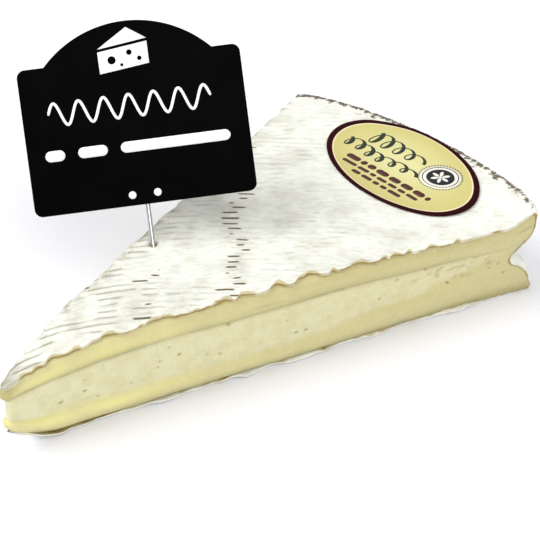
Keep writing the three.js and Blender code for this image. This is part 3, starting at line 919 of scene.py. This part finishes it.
def patch(outline, lay, thickness):
    # a filled outline, as a thin closed plate: its top is rings that shrink towards the middle, so
    # that it follows the surface that it lies on
    outline = np.asarray(outline, float)
    middle = outline.mean(axis=0)
    shares = np.array([1.0, 1.0, 0.8, 0.6, 0.4, 0.2])[:, None, None]
    places = middle + shares * (outline - middle)[None]
    levels = np.array([0.0, 1.0, 1.0, 1.0, 1.0, 1.0])[:, None] * thickness
    return gridShape(lay(places, levels + 0 * places[..., 0]))


def circle(middle, radius, count=48):
    turn = np.linspace(0, 2 * math.pi, count, endpoint=False)
    return middle + radius * np.stack([np.cos(turn), np.sin(turn)], axis=-1)


def bar(start, end, width, count=12):
    # a straight stroke with round ends: its width follows a half circle at each end
    t = np.sin(np.linspace(-math.pi / 2, math.pi / 2, count)) / 2 + 0.5
    start, end = np.asarray(start, float), np.asarray(end, float)
    length = np.linalg.norm(end - start)
    near = np.minimum(t, 1 - t) * length
    inside = np.clip(width / 2 - near, 0, width / 2)
    widths = np.maximum(2 * np.sqrt((width / 2) ** 2 - inside ** 2), 0.15 * width)
    return start + (end - start) * t[:, None], widths


labelPrint = {
    "turn": -170.0,  # the print reads from the far end of the oval, a little askew to it
    "ink": 0.05,
    # pen strokes: a start, a run with loops that sway and shrink, and a drop or a bow on the way
    "flourishes": (
        {"x": -20, "y": 7.0, "run": 22.5, "loops": 4.2, "sway": 2.4, "swayAt": 0.6,
         "tall": 4.4, "shrink": 2.2, "tallAt": 2.2, "drop": 0.8, "bow": 0.0},
        {"x": -25, "y": -1.8, "run": 31.5, "loops": 6.2, "sway": 2.0, "swayAt": 0.4,
         "tall": 2.9, "shrink": 1.1, "tallAt": 2.0, "drop": 0.0, "bow": 0.7},
    ),
    "thinStroke": 0.48, "thickening": 1.3,
    "lines": ((-8.4, -17.0, 20.8, 2.5), (-11.6, -16.0, 20.0, 1.5), (-14.4, -8.8, 13.2, 1.6)),
    "dashShort": 2.2, "dashLong": 6.5, "dashGap": 0.8,
    "seal": (13.9, 4.1), "sealRadius": 7.3, "sealDots": 44, "dotRadius": 0.26,
    "ringInset": 0.35, "bandInset": 1.35, "bandWidth": 0.3, "discRadius": 4.7,
    "petals": 6, "petalAt": 2.0, "petalLength": 1.35, "petalWidth": 0.6, "budRadius": 0.55,
}


def onPrint(places, above):
    # a place on the print, which is turned on the label, to the wedge's space
    turn = math.radians(labelPrint["turn"])
    x = places[..., 0] * math.cos(turn) - places[..., 1] * math.sin(turn)
    y = places[..., 0] * math.sin(turn) + places[..., 1] * math.cos(turn)
    return onLabel(np.stack([x, y], axis=-1), above)


def makeLabelPrint(green, maroon, cream, navy):
    ink = labelPrint["ink"]
    # a pen flourish in two strokes, thick on the way down
    t = np.linspace(0, 1, 260)
    strokes = []
    for pen in labelPrint["flourishes"]:
        turn = 2 * math.pi * pen["loops"] * t
        x = pen["x"] + pen["run"] * t + pen["sway"] * np.sin(turn + pen["swayAt"])
        y = pen["y"] + (pen["tall"] - pen["shrink"] * t) * np.sin(turn + pen["tallAt"])
        y = y - pen["drop"] * t + pen["bow"] * np.sin(3 * math.pi * t)
        fall = np.clip(-np.gradient(y) / np.abs(np.gradient(y)).max(), 0, 1)
        widths = labelPrint["thinStroke"] + labelPrint["thickening"] * fall
        strokes.append(ribbon(np.stack([x, y], axis=-1), widths, onPrint, ink))
    makePiece("label_flourish", strokes, green, "oval_label")

    # plain dashes of uneven length stand in rows
    dice = np.random.default_rng(120)
    dashes = []
    for level, start, end, width in labelPrint["lines"]:
        at = start
        while at < end - 1.5:
            length = min(dice.uniform(labelPrint["dashShort"], labelPrint["dashLong"]), end - at)
            dashes.append(ribbon(*bar((at, level), (at + length, level), width), onPrint, ink))
            at += length + labelPrint["dashGap"]
    makePiece("label_dashes", dashes, maroon, "oval_label")

    # a round medallion: dotted outline, pale ring, thin band, dark disc and a plain six-petalled flower
    seal, size = labelPrint["seal"], labelPrint["sealRadius"]
    ring = patch(circle(seal, size - labelPrint["ringInset"]), onPrint, ink)
    makePiece("label_medallion_ring", [ring], cream, "oval_label")
    dots = [patch(circle(spot, labelPrint["dotRadius"], 8), onPrint, ink * 1.5)
            for spot in circle(seal, size, labelPrint["sealDots"])]
    disc = patch(circle(seal, labelPrint["discRadius"]), onPrint, ink * 2)
    band = circle(seal, size - labelPrint["bandInset"])
    band = ribbon(band, labelPrint["bandWidth"], onPrint, ink * 2, closed=True)
    makePiece("label_medallion_disc", [disc, band] + dots, navy, "oval_label")
    petals = [patch(circle(seal, labelPrint["budRadius"], 16), onPrint, ink * 3)]
    turn = np.linspace(0, 2 * math.pi, 20, endpoint=False)[:, None]
    for spot in circle((0, 0), 1.0, labelPrint["petals"]):
        outline = seal + spot * (labelPrint["petalAt"] + labelPrint["petalLength"] * np.cos(turn))
        outline = outline + labelPrint["petalWidth"] * np.sin(turn) * np.array([-spot[1], spot[0]])
        petals.append(patch(outline, onPrint, ink * 3))
    makePiece("label_medallion_flower", petals, cream, "oval_label")


# the sign

sign = {
    "archWidth": 51.2, "archRise": 11.0, "corner": 2.5, "edgeRound": 0.35,
    "holderWidth": 13.0, "holderHeight": 9.0, "holderInset": 0.8, "holderCorner": 1.2,
    "pegSpacing": 7.7, "pegHeight": 3.2, "pegHead": 2.35,
    "socketEdge": 0.4, "pointLength": 4,
    "printInk": 0.04,
    # a drawn piece of cheese: its place, the corners of its top and side, and its holes and their radii
    "drawing": (-1.2, 46.8),
    "drawnTop": ((-7.6, 1.2), (1.8, 6.9), (7.6, 3.0)),
    "drawnSide": ((-7.6, 0.3), (-7.6, -6.3), (7.6, -4.6), (7.6, 2.1)),
    "drawnHoles": (((-3.6, -2.5), 1.25), ((1.9, -0.7), 0.85), ((4.8, -2.8), 0.7), ((-0.7, -4.2), 0.5)),
    "waveStart": -26, "waveRun": 49.5, "waveLevel": 30.2, "waveHeight": 3.4, "waves": 6.5, "waveWidth": 0.85,
    "bars": ((-28.5, -22.5), (-18.5, -9.5), (-5.5, 28.0)), "barLevel": 17.8, "barWidth": 3.3,
}


def cadPoints(node):
    # a CAD node's corners, each one once, in millimetres from the meeting point of the cuts
    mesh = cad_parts[node].data
    points = np.empty(len(mesh.vertices) * 3)
    mesh.vertices.foreach_get("co", points)
    return np.unique(np.round(points.reshape(-1, 3), 6), axis=0) * 1000 - (apexX, 0, 0)


def signAxes():
    # the board is flat and the same on its left and right, so the directions in which its corners
    # spread most, less and least are its right, its up and its front
    points = cadPoints("sign_board")
    spread = np.linalg.svd(points - points.mean(axis=0), full_matrices=False)[2]
    right, up, front = spread
    up = up * np.sign(up[2])
    behind = cadPoints("sign_pin").mean(axis=0) - points.mean(axis=0)
    front = front * -np.sign(front @ behind)
    right = np.cross(up, front)
    return np.stack([right, up, front])


axes = signAxes()
boardPoints = cadPoints("sign_board") @ axes.T
boardLow, boardHigh = boardPoints.min(axis=0), boardPoints.max(axis=0)
boardMiddle = (boardLow[0] + boardHigh[0]) / 2
pinPoints = cadPoints("sign_pin") @ axes.T
pinLow, pinHigh = pinPoints.min(axis=0), pinPoints.max(axis=0)
pinMiddle = (pinLow + pinHigh) / 2


def onSign(places, above):
    # right and up from the middle of the board's bottom edge, and out of its front, to the wedge's space
    local = np.stack([places[..., 0] + boardMiddle, places[..., 1] + boardLow[1],
                      boardHigh[2] + above + 0 * places[..., 0]], axis=-1)
    return local @ axes


def pinEntryPoint():
    # where the pin's axis meets the top of the rind
    middle = np.array([pinMiddle[0], 0, pinMiddle[2]]) @ axes
    up = axes[1]
    return middle + up * (height - middle[2]) / up[2]


pinEntry = pinEntryPoint()


def boardOutline():
    # counter-clockwise from the bottom left: three round corners, the arch, and the last corner, each
    # with a middle, a radius, the degrees where it begins and ends, and its count of points
    width, tall, corner = boardHigh[0] - boardLow[0], boardHigh[1] - boardLow[1], sign["corner"]
    panel = tall - sign["archRise"]
    archRadius = (sign["archWidth"] ** 2 / 4 + sign["archRise"] ** 2) / (2 * sign["archRise"])
    archMiddle = tall - archRadius
    start = math.asin((panel - archMiddle) / archRadius)
    x, top = width / 2 - corner, panel - corner
    runs = [((-x, corner), corner, 180, 270, 10), ((x, corner), corner, 270, 360, 10),
            ((x, top), corner, 0, 90, 10),
            ((0, archMiddle), archRadius, math.degrees(start), 180 - math.degrees(start), 60),
            ((-x, top), corner, 90, 180, 10)]
    parts = []
    for middle, radius, begin, end, count in runs:
        turn = np.radians(np.linspace(begin, end, count))
        parts.append(middle + radius * np.stack([np.cos(turn), np.sin(turn)], axis=-1))
    return np.concatenate(parts)


def outlineNormals(outline):
    # out of a counter-clockwise outline, at right angles to the line between a point's neighbours
    ahead = np.roll(outline, -1, axis=0) - np.roll(outline, 1, axis=0)
    ahead /= np.linalg.norm(ahead, axis=1, keepdims=True)
    return np.stack([ahead[:, 1], -ahead[:, 0]], axis=1)


def roundedPlate(outline, back, front, edgeRound, lay, steps=4):
    # a plate whose edges are rounded: the outline is drawn in by a quarter circle at each face
    turn = np.linspace(0, math.pi / 2, steps)
    inset = edgeRound * (1 - np.sin(turn))
    depth = edgeRound * (1 - np.cos(turn))
    insets = np.concatenate([inset, inset[::-1]])[:, None, None]
    levels = np.concatenate([back + depth, front - depth[::-1]])[:, None]
    places = outline[None] - insets * outlineNormals(outline)[None]
    return gridShape(lay(places, levels + 0 * places[..., 0]), ends="flat")


def makeSign(black, white, holderPlastic, steel):
    thickness = boardHigh[2] - boardLow[2]
    board = roundedPlate(boardOutline(), -thickness, 0.0, sign["edgeRound"], onSign)
    makePiece("sign_board_panel", [board], black, "sign_board", sharpAngle=40)

    # a plain drawing of a piece of cheese, then a wavy rule and three bars
    ink = sign["printInk"]
    middle = np.array(sign["drawing"])
    shapes = [patch(middle + sign[name], onSign, ink) for name in ("drawnTop", "drawnSide")]
    t = np.linspace(0, 1, 180)
    level = sign["waveLevel"] + sign["waveHeight"] * np.sin(2 * math.pi * sign["waves"] * t)
    wave = np.stack([sign["waveStart"] + sign["waveRun"] * t, level], axis=-1)
    widths = sign["waveWidth"] * np.clip(np.minimum(t, 1 - t) * 250, 0.6, 1)  # a little thinner at its ends
    shapes.append(ribbon(wave, widths, onSign, ink))
    for start, end in sign["bars"]:
        level = sign["barLevel"]
        shapes.append(ribbon(*bar((start, level), (end, level), sign["barWidth"], 24), onSign, ink))
    makePiece("sign_print", shapes, white, "sign_board")
    holes = [patch(circle(middle + spot, radius, 24), onSign, ink * 2) for spot, radius in sign["drawnHoles"]]
    makePiece("sign_print_holes", holes, black, "sign_board")

    # the holder: a block with rounded edges, and two pegs whose domed heads show at the front
    holderPoints = cadPoints("pin_holder") @ axes.T
    blockBack = holderPoints[:, 2].min() - boardHigh[2]
    width, tall, corner = sign["holderWidth"], sign["holderHeight"], sign["holderCorner"]
    turn = np.radians(np.concatenate([np.linspace(a, a + 90, 8) for a in (180, 270, 0, 90)]))
    shiftX = np.repeat([-1, 1, 1, -1], 8) * (width / 2 - corner)
    shiftY = np.repeat([0, 0, 1, 1], 8) * (tall - 2 * corner) + corner + sign["holderInset"]
    block = np.stack([shiftX + corner * np.cos(turn), shiftY + corner * np.sin(turn)], axis=-1)
    shapes = [roundedPlate(block, blockBack, -thickness - 0.05, sign["socketEdge"], onSign)]
    lift = np.array([-thickness - 0.3, 0.0, 0.22, 0.36, 0.46, 0.52])
    size = np.array([0.34, 0.5, 0.5, 0.47, 0.36, 0.18]) * sign["pegHead"]
    for side in (-1, 1):
        spot = (side * sign["pegSpacing"] / 2, sign["pegHeight"])
        places = np.stack([circle(spot, radius, 28) for radius in size])
        shapes.append(gridShape(onSign(places, lift[:, None] + 0 * places[..., 0])))
    makePiece("pin_holder_moulding", shapes, holderPlastic, "pin_holder", sharpAngle=50)

    # the pin: a drawn wire, ground to a point
    radius = (pinHigh[0] - pinLow[0]) / 2
    point, length = sign["pointLength"], pinHigh[1] - pinLow[1]
    levels = np.concatenate([np.linspace(0, point, 6), np.linspace(1.1 * point, length, 24)]) + pinLow[1]
    radii = radius * np.clip((levels - pinLow[1]) / point, 0.03, 1) ** 0.8
    turn = np.linspace(0, 2 * math.pi, 32, endpoint=False)[None]
    points = np.stack([pinMiddle[0] + radii[:, None] * np.cos(turn), levels[:, None] + 0 * turn,
                       pinMiddle[2] + radii[:, None] * np.sin(turn)], axis=-1) @ axes
    makePiece("pin_wire", [gridShape(points)], steel, "sign_pin", sharpAngle=60)


# the stage

view = {"turn": 43.6, "elevation": 35.84, "distance": 460.5, "lens": 91.2, "target": (72.6, 86.6)}
studio = {
    "floor": "#f6f6fb", "floorSize": 6, "floorDrop": 0.0002, "surroundings": 0.5,
    # far soft lights: the direction to each, its strength, and its width in degrees
    "lights": {"front": ((-0.35, -0.75, 0.85), 1.4, 40), "back": ((-0.5, 0.5, 0.8), 1.75, 45)},
}


def makeCamera():
    # the target is given along and across the direction that the camera sees as right
    turn = math.radians(view["turn"])
    right = np.array([math.cos(turn), -math.sin(turn), 0])
    ahead = np.array([math.sin(turn), math.cos(turn), 0])
    target = view["target"][0] * right + view["target"][1] * ahead
    rise = math.radians(view["elevation"])
    back = -ahead * math.cos(rise) + np.array([0, 0, math.sin(rise)])
    camera = bpy.data.objects.new("camera", bpy.data.cameras.new("camera"))
    camera.data.lens = view["lens"]
    camera.data.sensor_width = 36
    camera.data.clip_start = 0.01
    camera.location = toFrame(target + back * view["distance"])
    camera.rotation_euler = Vector(-back).to_track_quat("-Z", "Y").to_euler()
    bpy.context.scene.collection.objects.link(camera)
    bpy.context.scene.camera = camera


def addLight(name, direction, energy, spread):
    lamp = bpy.data.lights.new(name, "SUN")
    lamp.energy, lamp.angle = energy, math.radians(spread)
    light = bpy.data.objects.new(name, lamp)
    light.location = direction
    light.rotation_euler = Vector(direction).to_track_quat("Z", "Y").to_euler()
    bpy.context.scene.collection.objects.link(light)


def makeStage():
    # a matt painted floor, and white surroundings
    material = newMaterial("paintedStudioFloor", {"Base Color": colour(studio["floor"]), "Roughness": 0.9})[0]
    bpy.ops.mesh.primitive_plane_add(size=studio["floorSize"])
    floor = bpy.context.object
    floor.name = "floor"
    floor.location.z = -studio["floorDrop"]
    floor.data.materials.append(material)
    world = bpy.data.worlds.new("studio")
    bpy.context.scene.world = world
    world.use_nodes = True
    giveInputs(world.node_tree, world.node_tree.nodes["Background"], {
        "Color": (1, 1, 1, 1), "Strength": studio["surroundings"]})
    for name, (direction, strength, spread) in studio["lights"].items():
        addLight(name, direction, strength, spread)
    bpy.context.scene.view_settings.view_transform = "Standard"


makeCamera()
makeStage()
print("camera and lights placed")
makeRind(bloomyRind())
print("rind made")
makePaste(ripePaste())
print("paste made")
makeLabel(labelPaper())
makeLabelPrint(*[flatMaterial(f"ink{name}Printed") for name in ("Green", "Maroon", "Cream", "Navy")])
print("label made")
makeSign(flatMaterial("pvcBoardBlackCast"), flatMaterial("inkWhiteScreened"),
         flatMaterial("nylonWhiteMoulded"), drawnSteel())
print("sign made")
